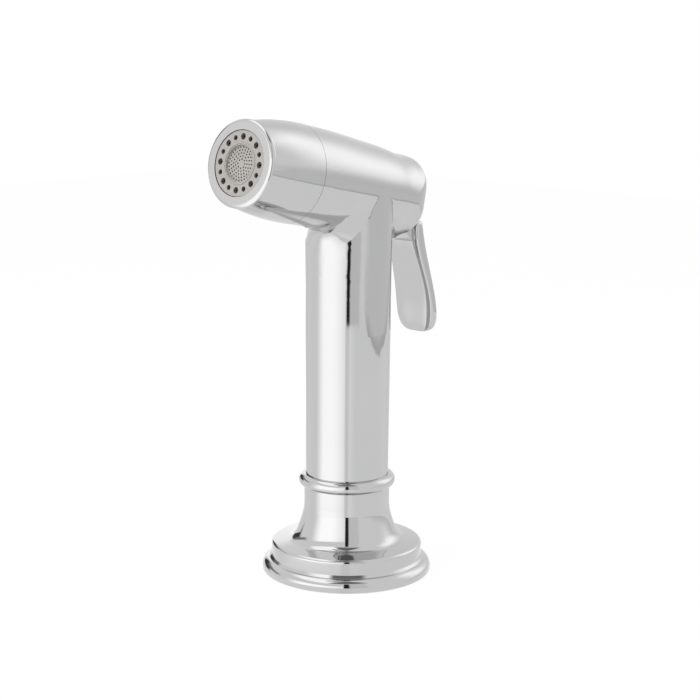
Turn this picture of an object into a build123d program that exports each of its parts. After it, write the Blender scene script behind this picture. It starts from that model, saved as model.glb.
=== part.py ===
from build123d import *
import math
import os

os.makedirs("parts", exist_ok=True)

# Rinse handset with a squeeze lever, standing in its deck-mounted holder.
# Millimetres, +Z up along the handle, nose towards -Y, lever towards +Y.
# The origin is the centre of the holder's underside, on the deck.
# A name ending in _S is a distance along the barrel's axis from the handle's axis,
# forward to the nose, and one ending in _U is a height over the barrel's axis.

# Clearances
FIT = 0.05              # running and sliding fits, on the radius
SEAT = 0.05             # gap between faces that rest on each other across a joint
SIDE = 0.15             # side play of the lever between the bracket's ears
SEAM = 0.12             # fine line between the barrel and its nose
ROOM = 0.5              # free room round inner pieces that move
OVER = 1.0              # how far a cut runs past the face that it opens

# Handle tube
TUBE_LOW_R = 13.5
TUBE_LOW_Z = 35.0
TUBE_HIGH_Z = 80.0
TUBE_FLARE = 0.35       # the tube is this much wider above than below
TUBE_WALL = 1.9
SHOULDER_Z = 30.65      # the handle's shoulder, resting on the bush
SHOULDER_STEP = 2.55
SPIGOT_LOW_Z = 17.4     # plain end below the shoulder, inside the bush
SPIGOT_WALL = 1.9
RISER_SEAT = 3.35       # the riser's step, above the shoulder

# Holder: turned shell
RIM_OUT = 2.35          # widest part of the foot, out from its sloping band's top
RIM_ROUND = 0.9
RIM_TOP_Z = 2.0
RIM_LAND = 1.75         # flat of the foot outside the gasket
FLARE_OUT = 0.7         # top of the foot's sloping band, out from the upper disc
FLARE_Z = 4.4
FLARE_BULGE = 0.35
DISC_R = 24.6           # upright edge of the upper disc
DISC_LOW_Z = 5.2
DISC_TOP_Z = 10.1
DISC_ROUND = 1.2
DISC_WALL = 1.6
DISC_ROOF = 3.1
SWEEP_OUT = 5.55        # where the disc turns up into the neck, out from the neck
SWEEP_RISE = 0.6        # and how far above the disc's top
SWEEP_MID_OUT = 1.75
SWEEP_MID_Z = 15.2
NECK_LOW_Z = 23.0
NECK_TOP_Z = 28.6
NECK_STEP = 0.4         # the neck is this much wider than the lip's bore
BEAD_STEP = 2.2         # and the half-round bead above it
LIP_Z = 32.8
LIP_LAND = 0.5

# Bush that guides the handset in the holder
BUSH_FLANGE = 1.1
BUSH_LOW_Z = 8.5
BUSH_WALL = 1.3

# Shank and clamp under the deck
SHANK_LEDGE = 1.6       # ledge of the holder that the shank butts against
SHANK_WALL = 2.05
SHANK_TOP_Z = 5.0
SHANK_LENGTH = 63.0
SHANK_CHAMFER = 1.0
SOCKET_WALL = 1.95
DECK = 30.0             # thickness of deck that the clamp is set for
CLAMP_R = 24.0
CLAMP_SEAL = 2.0
CLAMP_WASHER = 1.5
NUT_FLATS = 36.0
NUT_HEIGHT = 8.0
GASKET = 2.0

# Barrel: its axis leans up towards the nose
BARREL_Z = 126.6        # height of its axis over the handle's axis
BARREL_TILT = 12.1
SEAM_S = 29.04          # joint between barrel and nose
SEAM_SWELL = 2.25       # a swell is how much wider the barrel is than the handle's lower end
BELLY_S = 15.0
BELLY_SWELL = 2.1
WAIST_S = 0.0
WAIST_SWELL = 1.37
NAPE_S = -12.0
NAPE_SWELL = 0.55
REAR_BACK = 4.4         # centre of the rounded rear end, behind the handle's wall
REAR_EDGE = 10.5
TAIL = 2.5              # the turned outline runs this far past the rounded end
SADDLE_LOW_Z = 90.0     # from here up the handle widens sideways, to be flush with the barrel
SADDLE_IN = 0.06        # and it ends this far inside the barrel's sides
SADDLE_STEPS = 4
JOIN_IN = 4.5           # the blend between barrel and handle, in from the handle's radius
BARREL_WALL = 3.35
CAVITY_IN = 3.5         # the hollow's rear end, in front of the handle's rear wall
BORE_REACH = 2.8        # how far the handle's bore runs up into the barrel's hollow

# Nose
FACE_S = 50.6
FACE_ROUND = 1.2
FACE_EDGE = 1.4         # depth of the ring's rounded edge
FACE_CORNER = 0.35
NOSE_MID_S = 41.0
NOSE_MID_SWELL = 1.45
NOSE_WALL = 1.55

# Spray face
HUB_IN = 7.55           # the hub's hole, in from the nose's front edge
HUB_RIM = 0.35
HUB_RIM_RISE = 0.2
PLATE_WIDTH = 3.98      # from the hub's hole to the plate's rim
PLATE_GAP = 0.17
PLATE_SINK = 0.25
PLATE_THICK = 4.55
PLATE_FLANGE = 1.0
NOZZLE_OUT = 2.1        # the ring of nozzles, out from the hub's hole
NOZZLE_PAIRS = 8
NOZZLE_BIG_R = 1.0
NOZZLE_SMALL_R = 0.8
NOZZLE_SINK = 0.35      # nozzle tips lie this far inside the plate's face
INSERT_THICK = 1.2
ORIFICE_R = 0.35
AERATOR_WALL = 0.35
AERATOR_INSET = 1.5
SCREEN_SINK = 0.75
SCREEN_THICK = 0.6
SCREEN_CELL_R = 0.27
SCREEN_EDGE = 0.6       # the outer ring of cells, in from the rim
SCREEN_STEP = 0.9       # from ring to ring
SCREEN_PITCH = 1.12     # from cell to cell
MIXER_INSET = 1.5
MIXER_THICK = 1.2
MIXER_HOLES = 8
MIXER_HOLE_R = 0.6
MIXER_HOLES_IN = 2.0    # the mixer's ring of holes, in from its rim

# Nose core, carried on the valve body's spigot
CORE_INSET = 0.44
CORE_WALL = 2.4
CORE_WEB = 2.0
CORE_GAP = 0.1          # between the spigot's end and the core's web
CORE_TUBE_WALL = 0.9
CORE_RING_WALL = 1.3
VALVE_REACH = 6.86      # the spigot's end, past the seam
VALVE_SPIGOT_WALL = 2.0
CLIP_BACK = 2.7         # the clip and the seal lie this far behind the spigot's end
SEAL_BACK = 4.7
RING_WIRE_R = 0.45
PORT_DISC = 2.4
PORT_R = 1.5
PORT_EDGE = 0.05        # the ports stay this far inside the hub's hole
PORTS = 3

# Valve body inside the barrel
VALVE_INSET = 5.0       # its front, behind the seam
STEM_R = 2.0
STEM_SEAL_WIDTH = 1.2
STEM_SEAL_LENGTH = 1.6
STEM_SEAL_IN = 3.5      # the seal's rear, in front of the valve body's rear
GLAND_WALL = 0.7
GLAND_HEX = 8.4
GLAND_HEAD = 3.0
CHAMBER_R = 6.5         # inlet chamber, behind the seat
CHAMBER_IN = 6.5
CHAMBER_LENGTH = 11.5
SEAT_THICK = 2.0
SEAT_LIP = 0.4
SEAT_LIP_WALL = 0.7
SEAT_HOLE_R = 3.5
DISC_RIM = 0.6          # the rubber disc is this much wider than the seat's lip
DISC_SEAL = 2.0
DISC_CUP = 0.8
DISC_NUT_INSET = 0.6
DISC_NUT = 1.6
HEAD_STEP = 1.0
HEAD_THICK = 2.0
VALVE_WIRE_R = 0.35
VALVE_SPRING_IN = 1.1   # middle of the spring's wire, in from the disc's rim
VALVE_SPRING_TURNS = 6

# Riser: the plastic water pipe inside the handle
RISER_R = 6.0
RISER_WALL = 1.6
RISER_FLANGE = 2.2
RISER_STOP = 1.9        # its top, below the inlet chamber
RISER_WIRE_R = 0.46
RISER_SEAL_DOWN = 1.1
INLET_PORT_R = 4.0
INLET_PORT_REACH = 1.4

# Lever and its bracket
LEVER_TRAVEL = 12.0     # degrees from rest to fully squeezed
PIVOT_BACK = 5.1        # the pin, behind the middle of the barrel's rounded end
PIVOT_U = -7.8
PIN_R = 1.2
BOSS_R = 3.2
EAR_R = 2.5
EAR_WALL = 1.3
BRACKET_BASE = 1.2
BRACKET_RIM = 1.0
BRACKET_TOP_U = 3.0
BRACKET_DROP = 1.2      # the bracket's root reaches this far below the pin
POCKET_ROOM = 0.8
POCKET_DROP = 1.2
SLOT_ROOM = 1.0
SLOT_DROP = 0.45        # the slot runs this far past the barrel's nape
FORK_RISE = 1.0
FORK_PAD_R = 0.9
FORK_BACK = 1.0         # middle of the pads, behind the pin
FORK_REAR = 0.2
FORK_THICK = 2.6
FORK_GAP = 0.15
FORK_PLAY = 0.1
LEVER_DROP = 12.9       # top of the paddle, below the barrel's axis at the handle
LEVER_OUT = 0.4         # back of the paddle at its top, out from the barrel's end
LEVER_GAP = 0.4         # between the paddle's top and the barrel
LEVER_LENGTH = 38.7
LEVER_SPLAY = 11.9
LEVER_BACK_R = 13.0
LEVER_TOP_HALF = 6.1
LEVER_LOW_HALF = 7.0
LEVER_INNER = ((4.5, 7.7), (3.1, 12.7), (1.4, 17.7), (-0.3, 22.7), (-1.3, 27.7), (-1.7, 33.7))
NECK_HALF = 4.8
NECK_ROOT = 0.5         # how far the neck reaches into the paddle
NECK_REACH = 2.6        # half of its depth at the pin
NECK_DROP = 1.9

# Inlet at the handle's lower end
NIPPLE_SEAL = 1.0
NIPPLE_HEX = 2.8
NIPPLE_HEX_IN = 0.55    # the hexagon's corners, inside the spigot's radius
NIPPLE_WALL = 2.05
NIPPLE_LIP = 2.0
THREAD_R = 7.45
THREAD_LENGTH = 8.0
THREAD_WALL = 1.95
THREAD_CHAMFER = 0.8
FILTER_UP = 1.4
FILTER_THICK = 1.2
FILTER_HOLE_R = 0.9
FILTER_HOLES = 8
FILTER_HOLES_IN = 1.8   # the filter's ring of holes, in from its rim
CHECK_UP = 0.9          # the cartridge's seat, above the hexagon's underside
CHECK_LENGTH = 12.5
CHECK_SEAT = 1.8
CHECK_LEDGE = 1.7       # the seat's ledge, in from the cartridge's bore
CHECK_WALL = 1.3
CHECK_GUIDE = 1.5
CHECK_WIRE_R = 0.25
CHECK_SPRING_R = 2.6
CHECK_SPRING_TURNS = 5
POPPET_RIM = 0.8
POPPET_THICK = 1.6
POPPET_STEM_R = 1.2
FLOW_HOLES = 5
FLOW_WEB = 1.1          # left on both sides of the guide's holes

# Handle and holder sizes that follow
FLARE_R = DISC_R + FLARE_OUT
RIM_R = FLARE_R + RIM_OUT
TUBE_R = TUBE_LOW_R + TUBE_FLARE
TUBE_BORE_R = TUBE_LOW_R - TUBE_WALL
SPIGOT_R = TUBE_LOW_R - SHOULDER_STEP
SPIGOT_BORE_R = SPIGOT_R - SPIGOT_WALL
RISER_SEAT_Z = SHOULDER_Z + RISER_SEAT
BUSH_IN_R = SPIGOT_R + FIT
BUSH_R = BUSH_IN_R + BUSH_WALL
BUSH_TOP_Z = SHOULDER_Z - SEAT
BUSH_SEAT_Z = BUSH_TOP_Z - BUSH_FLANGE - SEAT
HOLDER_BORE_R = BUSH_R + FIT
LIP_R = TUBE_LOW_R + FIT
NECK_R = LIP_R + NECK_STEP
BEAD_R = LIP_R + BEAD_STEP
SWEEP_R = NECK_R + SWEEP_OUT
SWEEP_Z = DISC_TOP_Z + SWEEP_RISE
SHANK_R = HOLDER_BORE_R + SHANK_LEDGE
SHANK_BORE_R = SHANK_R - SHANK_WALL
SHANK_LOW_Z = SHANK_TOP_Z - SHANK_LENGTH
GASKET_IN_R = SHANK_R + SOCKET_WALL
GASKET_OUT_R = RIM_R - RIM_ROUND - RIM_LAND

# Barrel and valve sizes that follow
REAR_R = TUBE_LOW_R
REAR_S = -TUBE_LOW_R - REAR_BACK
NAPE_R = REAR_R + NAPE_SWELL
WAIST_R = REAR_R + WAIST_SWELL
BELLY_R = REAR_R + BELLY_SWELL
SEAM_R = REAR_R + SEAM_SWELL
SADDLE_R = WAIST_R - SADDLE_IN
JOIN_FILLET = TUBE_LOW_R - JOIN_IN
CAVITY_R = SEAM_R - BARREL_WALL
CAVITY_REAR_S = CAVITY_IN - TUBE_LOW_R
TAIL_S = REAR_S - REAR_R - TAIL
VALVE_FRONT_S = SEAM_S - VALVE_INSET
STEM_SEAL_R = STEM_R + STEM_SEAL_WIDTH
STEM_SEAL_REAR_S = CAVITY_REAR_S + STEM_SEAL_IN
STEM_SEAL_FRONT_S = STEM_SEAL_REAR_S + STEM_SEAL_LENGTH
GLAND_R = STEM_SEAL_R + GLAND_WALL
CHAMBER_REAR_S = CAVITY_REAR_S + CHAMBER_IN
SEAT_S = CHAMBER_REAR_S + CHAMBER_LENGTH
DISC_SEAL_R = SEAT_HOLE_R + SEAT_LIP_WALL + DISC_RIM
DISC_FRONT_S = SEAT_S - SEAT_LIP - SEAT
DISC_REAR_S = DISC_FRONT_S - DISC_SEAL
CUP_REAR_S = DISC_REAR_S - DISC_CUP
RISER_TOP_Z = BARREL_Z - CHAMBER_R - RISER_STOP
RISER_BORE_R = RISER_R - RISER_WALL
RISER_FLANGE_R = TUBE_BORE_R - FIT
RISER_SEAL_SINK = RISER_WIRE_R - FIT / 2

# Lever sizes that follow
PIVOT_S = REAR_S - PIVOT_BACK
LEVER_TOP_Y = REAR_R - REAR_S + LEVER_OUT
EAR_INNER = NECK_HALF + SIDE
EAR_OUTER = EAR_INNER + EAR_WALL
BRACKET_BASE_S = CAVITY_REAR_S - BRACKET_BASE
BRACKET_DISC_R = GLAND_R + BRACKET_RIM
BRACKET_LOW_U = PIVOT_U - BRACKET_DROP
FORK_TOP_U = STEM_R + FORK_RISE
FORK_PAD_S = PIVOT_S - FORK_BACK
VALVE_STROKE = -PIVOT_U * math.radians(LEVER_TRAVEL)
HEAD_R = STEM_R + HEAD_STEP
HEAD_FRONT_S = FORK_PAD_S - FORK_PAD_R - FORK_PLAY
HEAD_REAR_S = HEAD_FRONT_S - HEAD_THICK
POCKET_HALF = EAR_OUTER + SIDE
POCKET_TOP_U = BRACKET_DISC_R + POCKET_ROOM
POCKET_LOW_U = BRACKET_LOW_U - POCKET_DROP
POCKET_REAR_S = PIVOT_S - BOSS_R - POCKET_ROOM
RECESS_REAR_S = HEAD_REAR_S - VALVE_STROKE - ROOM
SLOT_FRONT_S = PIVOT_S + BOSS_R + SLOT_ROOM
SLOT_LOW_U = -NAPE_R - SLOT_DROP
LEVER_TOP_Z = BARREL_Z - LEVER_DROP
LEVER_TIP_Z = LEVER_TOP_Z - LEVER_LENGTH
LEVER_TIP_Y = LEVER_TOP_Y + LEVER_LENGTH * math.tan(math.radians(LEVER_SPLAY))
LEVER_FACE = [(LEVER_TOP_Y - inward, LEVER_TOP_Z - down) for inward, down in LEVER_INNER]

# Nose sizes that follow
FACE_R = TUBE_LOW_R
HUB_HOLE_R = FACE_R - HUB_IN
NOSE_MID_R = FACE_R + NOSE_MID_SWELL
CORE_R = FACE_R - NOSE_WALL
VALVE_SPIGOT_R = CORE_R - CORE_WALL - FIT
VALVE_SPIGOT_END_S = SEAM_S + VALVE_REACH
OUTLET_R = VALVE_SPIGOT_R - VALVE_SPIGOT_WALL
CLIP_S = VALVE_SPIGOT_END_S - CLIP_BACK
SELECTOR_SEAL_S = VALVE_SPIGOT_END_S - SEAL_BACK
PORT_REAR_S = VALVE_SPIGOT_END_S - PORT_DISC
CORE_REAR_S = SEAM_S + SEAM + CORE_INSET
CORE_WEB_S = VALVE_SPIGOT_END_S + CORE_GAP
CORE_WEB_FRONT_S = CORE_WEB_S + CORE_WEB
PLATE_R = HUB_HOLE_R + PLATE_WIDTH
PLATE_S = FACE_S - PLATE_SINK
PLATE_REAR_S = PLATE_S - PLATE_THICK
INSERT_REAR_S = PLATE_REAR_S - INSERT_THICK
RING_IN_R = PLATE_R + PLATE_GAP
RING_REAR_S = PLATE_REAR_S + PLATE_FLANGE
RING_BACK_S = FACE_S - FACE_EDGE
NOZZLE_RING_R = HUB_HOLE_R + NOZZLE_OUT
PORT_RING_R = HUB_HOLE_R - PORT_R - PORT_EDGE
SCREEN_R = HUB_HOLE_R - AERATOR_WALL
SCREEN_RINGS = int((SCREEN_R - SCREEN_EDGE) / SCREEN_STEP)
AERATOR_REAR_S = CORE_WEB_FRONT_S + AERATOR_INSET
MIXER_S = AERATOR_REAR_S + MIXER_INSET
SCREEN_FRONT_S = PLATE_S - SCREEN_SINK

# Inlet sizes that follow
NIPPLE_HEX_TOP_Z = SPIGOT_LOW_Z - NIPPLE_SEAL
NIPPLE_HEX_LOW_Z = NIPPLE_HEX_TOP_Z - NIPPLE_HEX
NIPPLE_FLATS = 2 * (SPIGOT_R - NIPPLE_HEX_IN) * math.cos(math.pi / 6)
THREAD_LOW_Z = NIPPLE_HEX_LOW_Z - THREAD_LENGTH
NIPPLE_BORE_R = THREAD_R - THREAD_WALL
CHECK_R = SPIGOT_BORE_R - NIPPLE_WALL
CHECK_LOW_Z = NIPPLE_HEX_LOW_Z + CHECK_UP
CHECK_TOP_Z = CHECK_LOW_Z + CHECK_LENGTH
CHECK_BORE_R = CHECK_R - CHECK_WALL
CHECK_SEAT_R = CHECK_BORE_R - CHECK_LEDGE
FLOW_HOLE_R = (CHECK_BORE_R - POPPET_STEM_R - FIT) / 2 - FLOW_WEB
NIPPLE_TOP_Z = CHECK_TOP_Z + NIPPLE_LIP
POPPET_R = CHECK_SEAT_R + POPPET_RIM
POPPET_LOW_Z = CHECK_LOW_Z + CHECK_SEAT + SEAT
POPPET_TOP_Z = POPPET_LOW_Z + POPPET_THICK
GUIDE_LOW_Z = CHECK_TOP_Z - CHECK_GUIDE

# The barrel's own frame: z along its axis towards the nose, y up
BARREL = Plane(
    origin=(0, 0, BARREL_Z),
    x_dir=(1, 0, 0),
    z_dir=(0, -math.cos(math.radians(BARREL_TILT)), math.sin(math.radians(BARREL_TILT))),
)
PIVOT = BARREL.from_local_coords((0, PIVOT_U, PIVOT_S))

# Side view of the barrel: drawn as (distance along its axis, height over the axis)
SIDE_VIEW = Plane(origin=(0, 0, 0), x_dir=(0, 0, 1), z_dir=(-1, 0, 0))


def lathe(outline):
    """A solid of revolution about Z from edges drawn as (radius, height)."""
    return revolve(Plane.XZ * make_face(outline), Axis.Z)


def turned(points):
    """A solid of revolution about Z from (radius, height) corners."""
    return lathe(Polyline(*points, close=True))


def rod(radius, low, high):
    return turned([(0, low), (radius, low), (radius, high), (0, high)])


def pipe(inner, outer, low, high):
    return turned([(inner, low), (outer, low), (outer, high), (inner, high)])


def block(x_low, x_high, y_low, y_high, z_low, z_high):
    solid = Box(x_high - x_low, y_high - y_low, z_high - z_low)
    return Pos((x_low + x_high) / 2, (y_low + y_high) / 2, (z_low + z_high) / 2) * solid


def around(count, radius, solid, turn=0.0):
    """Copies of a solid on a circle about Z, the first at the angle given by turn."""
    return [Rot(0, 0, turn + 360 * i / count) * Pos(radius, 0, 0) * solid for i in range(count)]


def prism_x(points, half):
    """A solid from (y, z) corners, reaching half on each side of X = 0."""
    face = make_face(Polyline(*[(0, y, z) for y, z in points], close=True))
    return extrude(face, amount=half, dir=(1, 0, 0), both=True)


def hexagon(flats, low, high):
    return Pos(0, 0, low) * extrude(RegularPolygon(flats / 2, 6, major_radius=False), high - low)


def ring(surface_r, wire_r, sink, place):
    """A round ring whose wire's centre lies this far inside a plain end's surface."""
    return Pos(0, 0, place) * Torus(surface_r - sink, wire_r)


def groove(surface_r, wire_r, sink, place):
    """The groove for such a ring, cut into the plain end."""
    half = wire_r + FIT
    return pipe(surface_r - sink - half, surface_r + half, place - half, place + half)


def biarc(start, start_way, end, end_way):
    """Two tangent arcs from start to end with the given directions."""
    chord = end - start
    ways = start_way + end_way
    a = 2 * (start_way.dot(end_way) - 1)
    b = -2 * chord.dot(ways)
    c = chord.dot(chord)
    reach = (-b - math.sqrt(b * b - 4 * a * c)) / (2 * a)
    first = start + start_way * reach
    last = end - end_way * reach
    middle = (first + last) / 2
    return [TangentArc(start, middle, tangent=start_way), TangentArc(middle, end, tangent=last - first)]


def coil(mean_r, wire_r, low, high, turns):
    """A coil spring of round wire about Z, made of one unbroken tube."""
    rise = (high - low - 2 * wire_r) / turns
    steps = 2 * turns
    places = []
    ways = []
    for i in range(steps + 1):
        angle = math.pi * i
        places.append(Vector(mean_r * math.cos(angle), 0, low + wire_r + rise * i / 2))
        across = 2 * math.pi * mean_r * math.cos(angle)
        ways.append(Vector(0, across, rise).normalized())
    arcs = []
    for i in range(steps):
        arcs += biarc(places[i], ways[i], places[i + 1], ways[i + 1])
    gap = rise - 2 * wire_r
    print("coil gap", round(gap, 2))
    section = Plane(origin=places[0], z_dir=ways[0]) * Circle(wire_r)
    return sweep(section, path=Wire(arcs))


# Holder
def foot_outline():
    """The underside, the rounded rim, the bulging band and the upper disc."""
    side_top = (DISC_R, DISC_TOP_Z - DISC_ROUND)
    disc_top = (DISC_R - DISC_ROUND, DISC_TOP_Z)
    bulge = ((RIM_R + FLARE_R) / 2 + FLARE_BULGE, (RIM_TOP_Z + FLARE_Z) / 2 + FLARE_BULGE)
    return [
        Polyline((SHANK_R, 0), (RIM_R - RIM_ROUND, 0)),
        RadiusArc((RIM_R - RIM_ROUND, 0), (RIM_R, RIM_ROUND), -RIM_ROUND),
        Line((RIM_R, RIM_ROUND), (RIM_R, RIM_TOP_Z)),
        ThreePointArc((RIM_R, RIM_TOP_Z), bulge, (FLARE_R, FLARE_Z)),
        Polyline((FLARE_R, FLARE_Z), (DISC_R, DISC_LOW_Z), side_top),
        RadiusArc(side_top, disc_top, -DISC_ROUND),
        Line(disc_top, (SWEEP_R, SWEEP_Z)),
    ]


def neck_outline():
    """The sweep up into the neck, the bead, the lip and the bore."""
    slope = SWEEP_RISE / (DISC_R - DISC_ROUND - SWEEP_R)
    bead_end = (LIP_R + LIP_LAND, LIP_Z)
    bore = [(LIP_R, LIP_Z), (LIP_R, BUSH_SEAT_Z), (HOLDER_BORE_R, BUSH_SEAT_Z)]
    socket = [(HOLDER_BORE_R, SHANK_TOP_Z), (SHANK_R, SHANK_TOP_Z), (SHANK_R, 0)]
    return [
        Spline(
            (SWEEP_R, SWEEP_Z),
            (NECK_R + SWEEP_MID_OUT, SWEEP_MID_Z),
            (NECK_R, NECK_LOW_Z),
            tangents=((-1, slope), (0, 1)),
        ),
        Line((NECK_R, NECK_LOW_Z), (NECK_R, NECK_TOP_Z)),
        ThreePointArc((NECK_R, NECK_TOP_Z), (BEAD_R, (NECK_TOP_Z + LIP_Z) / 2), bead_end),
        Polyline(bead_end, *bore, *socket),
    ]


def holder_shell():
    shell = lathe(foot_outline() + neck_outline())
    shell -= pipe(GASKET_IN_R, GASKET_OUT_R, -OVER, GASKET)
    shell -= pipe(GASKET_IN_R, DISC_R - DISC_WALL, 0, DISC_TOP_Z - DISC_ROOF)
    return shell


def deck_gasket():
    return pipe(GASKET_IN_R, GASKET_OUT_R, 0, GASKET)


def threaded_shank():
    return turned(
        [
            (SHANK_BORE_R, SHANK_LOW_Z),
            (SHANK_R - SHANK_CHAMFER, SHANK_LOW_Z),
            (SHANK_R, SHANK_LOW_Z + SHANK_CHAMFER),
            (SHANK_R, SHANK_TOP_Z),
            (SHANK_BORE_R, SHANK_TOP_Z),
        ]
    )


def clamp_ring(top, thick):
    return pipe(SHANK_R + 2 * FIT, CLAMP_R, top - thick, top)


def clamp_seal():
    return clamp_ring(-DECK, CLAMP_SEAL)


def clamp_washer():
    return clamp_ring(-DECK - CLAMP_SEAL, CLAMP_WASHER)


def lock_nut():
    top = -DECK - CLAMP_SEAL - CLAMP_WASHER
    return hexagon(NUT_FLATS, top - NUT_HEIGHT, top) - rod(SHANK_R, top - NUT_HEIGHT, top)


def guide_bush():
    flange = pipe(BUSH_IN_R, LIP_R - FIT, BUSH_TOP_Z - BUSH_FLANGE, BUSH_TOP_Z)
    return flange + pipe(BUSH_IN_R, BUSH_R, BUSH_LOW_Z, BUSH_TOP_Z)


# Handset casting
def barrel_outer():
    profile = [
        Line((0, SEAM_S), (SEAM_R, SEAM_S)),
        Spline(
            (SEAM_R, SEAM_S),
            (BELLY_R, BELLY_S),
            (WAIST_R, WAIST_S),
            (NAPE_R, NAPE_S),
            (REAR_R, REAR_S),
            tangents=[(0, -1), (0, -1)],
        ),
        Polyline((REAR_R, REAR_S), (REAR_R, TAIL_S), (0, TAIL_S), (0, SEAM_S)),
    ]
    cap = Pos(0, 0, REAR_S) * Rot(90, 0, 0) * Cylinder(REAR_R, 2 * REAR_R)
    cap = fillet(cap.edges().filter_by(GeomType.CIRCLE), REAR_EDGE)
    half = 2 * SEAM_R
    return BARREL * (lathe(profile) & (cap + block(-half, half, -half, half, REAR_S, SEAM_S)))


def handle_outer():
    """The handle's tube, which widens sideways at its top."""
    sections = []
    for i in range(SADDLE_STEPS + 1):
        rise = i / SADDLE_STEPS
        wide = TUBE_R + (SADDLE_R - TUBE_R) * rise**2 * (2 - rise)
        level = SADDLE_LOW_Z + (BARREL_Z - SADDLE_LOW_Z) * rise
        sections.append(Pos(0, 0, level) * Ellipse(wide, TUBE_R))
    return loft(sections) + turned(
        [
            (0, SHOULDER_Z),
            (TUBE_LOW_R, SHOULDER_Z),
            (TUBE_LOW_R, TUBE_LOW_Z),
            (TUBE_R, TUBE_HIGH_Z),
            (TUBE_R, SADDLE_LOW_Z),
            (0, SADDLE_LOW_Z),
        ]
    )


def on_join(edge):
    """True for the curve where the handle's tube meets the barrel."""
    spots = [edge @ t for t in (0.1, 0.35, 0.6, 0.85)]
    on_tube = [TUBE_R - FIT < math.hypot(p.X, p.Y) < WAIST_R for p in spots]
    inside = SADDLE_LOW_Z + OVER < edge.bounding_box().min.Z
    return edge.geom_type == GeomType.BSPLINE and inside and all(on_tube)


def barrel_hollow():
    """The valve's cavity, the bracket's pocket, the stem head's recess and the lever's slot."""
    half = POCKET_HALF
    hollow = rod(CAVITY_R, CAVITY_REAR_S, SEAM_S + OVER)
    hollow += block(-half, half, POCKET_LOW_U, POCKET_TOP_U, POCKET_REAR_S, CAVITY_REAR_S)
    hollow += rod(HEAD_R + ROOM, RECESS_REAR_S, POCKET_REAR_S)
    hollow += block(-half, half, SLOT_LOW_U, POCKET_LOW_U, 2 * REAR_S, SLOT_FRONT_S)
    return BARREL * hollow


def lever_notch():
    """Cuts the barrel's underside level, over the neck and the top of the paddle."""
    front = PIVOT.Y + BOSS_R
    top = LEVER_TOP_Z + LEVER_GAP
    return block(-POCKET_HALF, POCKET_HALF, front, 2 * LEVER_TOP_Y, top - 2 * REAR_R, top)


def handset_body():
    body = barrel_outer() + handle_outer()
    body = fillet([e for e in body.edges() if on_join(e)], JOIN_FILLET)
    body += rod(SPIGOT_R, SPIGOT_LOW_Z, SHOULDER_Z)
    body -= barrel_hollow()
    body -= lever_notch()
    body -= rod(TUBE_BORE_R, RISER_SEAT_Z, BARREL_Z - CAVITY_R + BORE_REACH)
    body -= rod(SPIGOT_BORE_R, SPIGOT_LOW_Z, RISER_SEAT_Z)
    return body


# Inlet and check valve
def inlet_nipple():
    thread = turned(
        [
            (NIPPLE_BORE_R, THREAD_LOW_Z),
            (THREAD_R - THREAD_CHAMFER, THREAD_LOW_Z),
            (THREAD_R, THREAD_LOW_Z + THREAD_CHAMFER),
            (THREAD_R, NIPPLE_HEX_LOW_Z),
            (NIPPLE_BORE_R, NIPPLE_HEX_LOW_Z),
        ]
    )
    collar = hexagon(NIPPLE_FLATS, NIPPLE_HEX_LOW_Z, NIPPLE_HEX_TOP_Z)
    collar += rod(SPIGOT_BORE_R, NIPPLE_HEX_TOP_Z, NIPPLE_TOP_Z)
    collar -= rod(NIPPLE_BORE_R, NIPPLE_HEX_LOW_Z, CHECK_LOW_Z)
    collar -= rod(CHECK_R, CHECK_LOW_Z, NIPPLE_TOP_Z)
    return thread + collar


def nipple_seal():
    return pipe(SPIGOT_BORE_R + FIT, SPIGOT_R - FIT, NIPPLE_HEX_TOP_Z, SPIGOT_LOW_Z)


def inlet_filter():
    low = THREAD_LOW_Z + FILTER_UP
    screen = rod(NIPPLE_BORE_R, low, low + FILTER_THICK)
    hole = Pos(0, 0, low) * Cylinder(FILTER_HOLE_R, 3 * FILTER_THICK)
    return screen - [hole, *around(FILTER_HOLES, NIPPLE_BORE_R - FILTER_HOLES_IN, hole)]


def check_valve_body():
    body = pipe(CHECK_SEAT_R, CHECK_R, CHECK_LOW_Z, CHECK_LOW_Z + CHECK_SEAT)
    return body + pipe(CHECK_BORE_R, CHECK_R, CHECK_LOW_Z, CHECK_TOP_Z)


def check_valve_guide():
    guide = pipe(POPPET_STEM_R + FIT, CHECK_BORE_R, GUIDE_LOW_Z, CHECK_TOP_Z)
    hole = Pos(0, 0, CHECK_TOP_Z) * Cylinder(FLOW_HOLE_R, 4 * CHECK_GUIDE)
    return guide - around(FLOW_HOLES, CHECK_BORE_R - FLOW_WEB - FLOW_HOLE_R, hole)


def check_valve_poppet():
    disc = rod(POPPET_R, POPPET_LOW_Z, POPPET_TOP_Z)
    return disc + rod(POPPET_STEM_R, POPPET_LOW_Z, CHECK_TOP_Z)


def check_valve_spring():
    return coil(CHECK_SPRING_R, CHECK_WIRE_R, POPPET_TOP_Z, GUIDE_LOW_Z, CHECK_SPRING_TURNS)


# Riser
LOWER_SEAL = (RISER_FLANGE_R, RISER_WIRE_R, RISER_SEAL_SINK, RISER_SEAT_Z + RISER_FLANGE / 2)
UPPER_SEAL = (RISER_R, RISER_WIRE_R, RISER_SEAL_SINK, RISER_TOP_Z - RISER_SEAL_DOWN)


def riser_tube():
    tube = pipe(RISER_BORE_R, RISER_R, RISER_SEAT_Z, RISER_TOP_Z)
    tube += pipe(RISER_BORE_R, RISER_FLANGE_R, RISER_SEAT_Z, RISER_SEAT_Z + RISER_FLANGE)
    return tube - groove(*LOWER_SEAL) - groove(*UPPER_SEAL)


def riser_seals():
    return ring(*LOWER_SEAL) + ring(*UPPER_SEAL)


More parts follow.
